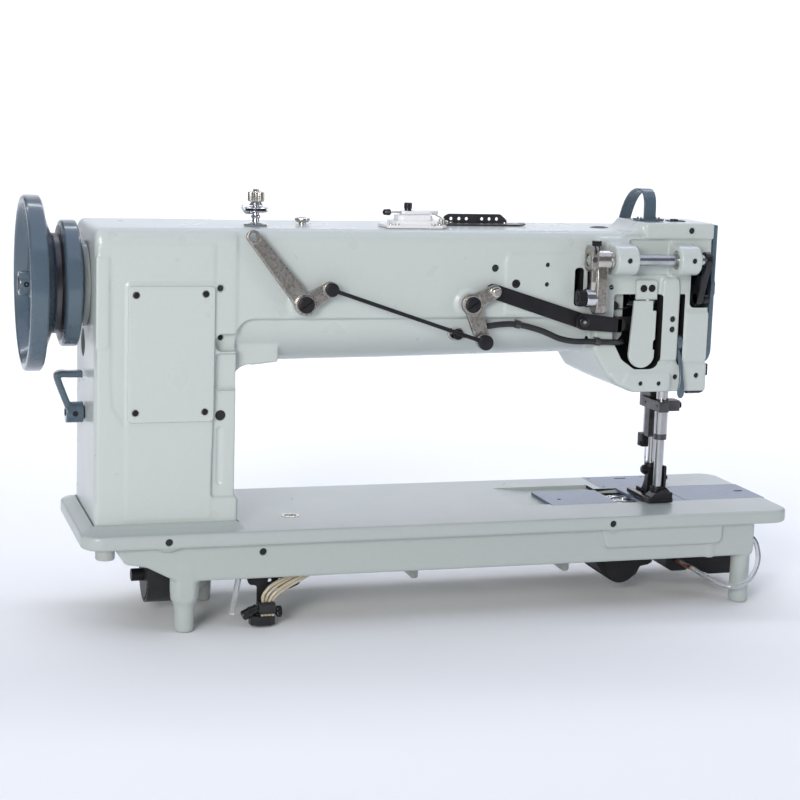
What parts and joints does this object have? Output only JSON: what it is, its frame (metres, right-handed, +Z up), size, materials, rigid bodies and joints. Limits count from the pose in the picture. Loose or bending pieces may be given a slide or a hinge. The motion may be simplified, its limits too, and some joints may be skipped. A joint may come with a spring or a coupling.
{
  "type": "leather sewing machine",
  "caption": "Long-arm walking-foot sewing machine head for leather, with handwheel, presser lift linkage, rocking needle unit, hook drive under the bed and sliding bed plates.",
  "frame": {"origin": "middle of the bounding box at the underside of the four legs", "axes": "+X along the arm from the handwheel to the needle, +Y from the back of the machine to the operator, +Z up"},
  "size_m": [0.7796, 0.19, 0.425],
  "materials": {
    "black_oxide": "black oxide",
    "clear_tube": "clear hose",
    "cream_tube": "translucent cream hose",
    "dark_steel": "dark grey steel",
    "grey_enamel": "glossy hammered enamel",
    "nickel_plate": "nickel-plated casting",
    "bed_plate_steel": "ground, bluish",
    "black_rubber": "satin",
    "slate_enamel": "glossy slate-blue enamel",
    "bright_steel": "ground and polished",
    "white_plastic": "satin"
  },
  "bodies": {
    "frame": {"bed_casting": "grey_enamel", "arm_casting": "grey_enamel", "column_rear_cover": "grey_enamel", "main_bearing_housing": "grey_enamel", "face_plate": "slate_enamel", "spring_cover": "grey_enamel", "needle_plate": "bed_plate_steel", "front_bed_plate": "bed_plate_steel", "presser_bar_bushing": "dark_steel", "presser_spring": "bright_steel", "spool_tray_bracket": "dark_steel", "take_up_guard": "slate_enamel", "winder_base": "white_plastic", "thread_post": "bright_steel", "thread_tension": "bright_steel", "lift_crank_stud": "black_oxide", "bell_crank_stud": "black_oxide", "rear_hose": "black_rubber", "timing_belt": "black_rubber", "hook_gear_case": "black_oxide", "feed_gear_case": "black_oxide", "oil_bracket": "black_oxide", "oil_distributor": "black_oxide", "oil_tube_bundle": "cream_tube", "drain_tube": "clear_tube", "return_tube": "clear_tube", "bobbin_case": "bright_steel"},
    "main_shaft_unit": {"handwheel": "slate_enamel", "main_shaft": "bright_steel", "upper_sprocket": "dark_steel", "needle_crank": "bright_steel"},
    "lower_shaft_unit": {"lower_shaft": "bright_steel", "lower_sprocket": "dark_steel", "hook_drive_gear": "bright_steel"},
    "hook": {"rotary_hook": "bright_steel"},
    "needle_frame": {"needle_bar_frame": "dark_steel"},
    "needle_unit": {"needle_bar": "bright_steel", "needle": "bright_steel"},
    "walking_unit": {"walking_bar": "bright_steel", "walking_foot": "black_oxide"},
    "presser_unit": {"presser_bar": "bright_steel", "presser_foot": "black_oxide"},
    "lift_crank": {"lift_crank": "nickel_plate"},
    "lift_rod": {"lift_rod": "black_oxide"},
    "bell_crank": {"bell_crank": "nickel_plate"},
    "lift_link": {"lift_link": "black_oxide"},
    "lift_slide": {"lift_slide": "black_oxide"},
    "rock_unit": {"rock_shaft": "bright_steel", "rock_crank": "nickel_plate", "rock_output_lever": "black_oxide"},
    "hand_lifter": {"hand_lifter": "slate_enamel"},
    "take_up_lever": {"take_up_lever": "bright_steel"},
    "feed_dog": {"feed_dog": "bright_steel"},
    "left_slide_plate": {"left_slide_plate": "bed_plate_steel"},
    "right_slide_plate": {"right_slide_plate": "bed_plate_steel"},
    "stitch_dial": {"stitch_dial": "black_oxide"},
    "back_tack_lever": {"back_tack_lever": "slate_enamel"},
    "winder_spindle": {"winder_spindle": "black_oxide"},
    "thread_post_nut": {"thread_post_nut": "nickel_plate"},
    "tension_nut": {"tension_nut": "nickel_plate"}
  },
  "joints": [
    {"name": "main_drive", "type": "hinge", "parent": "frame", "child": "main_shaft_unit", "pos_m": [-0.3272, 0.00047, 0.3258], "axis": [1, 0, 0], "continuous": true},
    {"name": "lower_drive", "type": "hinge", "parent": "frame", "child": "lower_shaft_unit", "pos_m": [-0.0272, 0.00047, 0.0375], "axis": [1, 0, 0], "continuous": true},
    {"name": "hook_drive", "type": "hinge", "parent": "frame", "child": "hook", "pos_m": [0.2398, 0.00047, 0.0895], "axis": [0, 0, 1], "continuous": true},
    {"name": "rocking", "type": "hinge", "parent": "frame", "child": "rock_unit", "pos_m": [0.2128, -0.07953, 0.357], "axis": [1, 0, 0], "range_deg": [-4.5, 4.5]},
    {"name": "needle_frame_swing", "type": "hinge", "parent": "frame", "child": "needle_frame", "pos_m": [0.2828, 0.00047, 0.3495], "axis": [1, 0, 0], "range_deg": [-1.21, 1.21]},
    {"name": "needle_bar_stroke", "type": "slide", "parent": "needle_frame", "child": "needle_unit", "axis": [0, 0, 1], "range_m": [-0.033, 0.003]},
    {"name": "walking_bar_lift", "type": "slide", "parent": "needle_frame", "child": "walking_unit", "axis": [0, 0, 1], "range_m": [0, 0.007]},
    {"name": "lift_lever", "type": "hinge", "parent": "frame", "child": "lift_crank", "pos_m": [-0.1299, -0.07303, 0.3133], "axis": [0, -1, 0], "range_deg": [0, 25]},
    {"name": "rod_upper_pin", "type": "hinge", "parent": "lift_crank", "child": "lift_rod", "pos_m": [-0.1059, -0.07883, 0.328], "axis": [0, 1, 0], "range_deg": [0, 29.6]},
    {"name": "bell_crank_pivot", "type": "hinge", "parent": "frame", "child": "bell_crank", "pos_m": [0.0367, -0.07303, 0.3129], "axis": [0, 1, 0], "range_deg": [0, 18.8]},
    {"name": "link_upper_pin", "type": "hinge", "parent": "bell_crank", "child": "lift_link", "pos_m": [0.0599, -0.06853, 0.3252], "axis": [0, -1, 0], "range_deg": [0, 23.6]},
    {"name": "slide_travel", "type": "slide", "parent": "frame", "child": "lift_slide", "axis": [1, 0, 0], "range_m": [0, 0.0053]},
    {"name": "presser_lift", "type": "slide", "parent": "frame", "child": "presser_unit", "axis": [0, 0, 1], "range_m": [0, 0.013]},
    {"name": "hand_lifter_pivot", "type": "hinge", "parent": "frame", "child": "hand_lifter", "pos_m": [0.2648, -0.05953, 0.2715], "axis": [-1, 0, 0], "range_deg": [0, 70]},
    {"name": "take_up_pivot", "type": "hinge", "parent": "frame", "child": "take_up_lever", "pos_m": [0.2828, 0.03247, 0.3255], "axis": [1, 0, 0], "range_deg": [-20, 20]},
    {"name": "feed_travel", "type": "slide", "parent": "frame", "child": "feed_dog", "axis": [0, 1, 0], "range_m": [-0.003, 0.003]},
    {"name": "left_plate_slide", "type": "slide", "parent": "frame", "child": "left_slide_plate", "axis": [1, 0, 0], "range_m": [0, 0.026]},
    {"name": "right_plate_slide", "type": "slide", "parent": "frame", "child": "right_slide_plate", "axis": [1, 0, 0], "range_m": [0, 0.04]},
    {"name": "stitch_dial_turn", "type": "hinge", "parent": "frame", "child": "stitch_dial", "pos_m": [-0.2652, 0.07047, 0.2495], "axis": [0, 1, 0], "range_deg": [0, 300]},
    {"name": "back_tack_press", "type": "hinge", "parent": "frame", "child": "back_tack_lever", "pos_m": [-0.3272, 0.00547, 0.2005], "axis": [1, 0, 0], "range_deg": [-12, 12]},
    {"name": "winder_spin", "type": "hinge", "parent": "frame", "child": "winder_spindle", "pos_m": [-0.0162, -0.02453, 0.3895], "axis": [0, 0, 1], "continuous": true},
    {"name": "thread_post_turn", "type": "hinge", "parent": "frame", "child": "thread_post_nut", "pos_m": [-0.1692, -0.02753, 0.4115], "axis": [0, 0, 1], "range_deg": [-180, 180]},
    {"name": "tension_turn", "type": "hinge", "parent": "frame", "child": "tension_nut", "pos_m": [0.2328, 0.08047, 0.3055], "axis": [0, 1, 0], "range_deg": [-180, 180]}
  ],
  "couplings": [
    {"joint": "lower_drive", "follows": "main_drive", "ratio": 1},
    {"joint": "hook_drive", "follows": "main_drive", "ratio": 2},
    {"joint": "needle_frame_swing", "follows": "rocking", "ratio": 0.267},
    {"joint": "rod_upper_pin", "follows": "lift_lever", "ratio": 1.174},
    {"joint": "bell_crank_pivot", "follows": "lift_lever", "ratio": 0.7456},
    {"joint": "link_upper_pin", "follows": "lift_lever", "ratio": 0.9358},
    {"joint": "slide_travel", "follows": "lift_lever", "m_per_rad": 0.01187},
    {"joint": "presser_lift", "follows": "lift_lever", "m_per_rad": 0.02975}
  ]
}
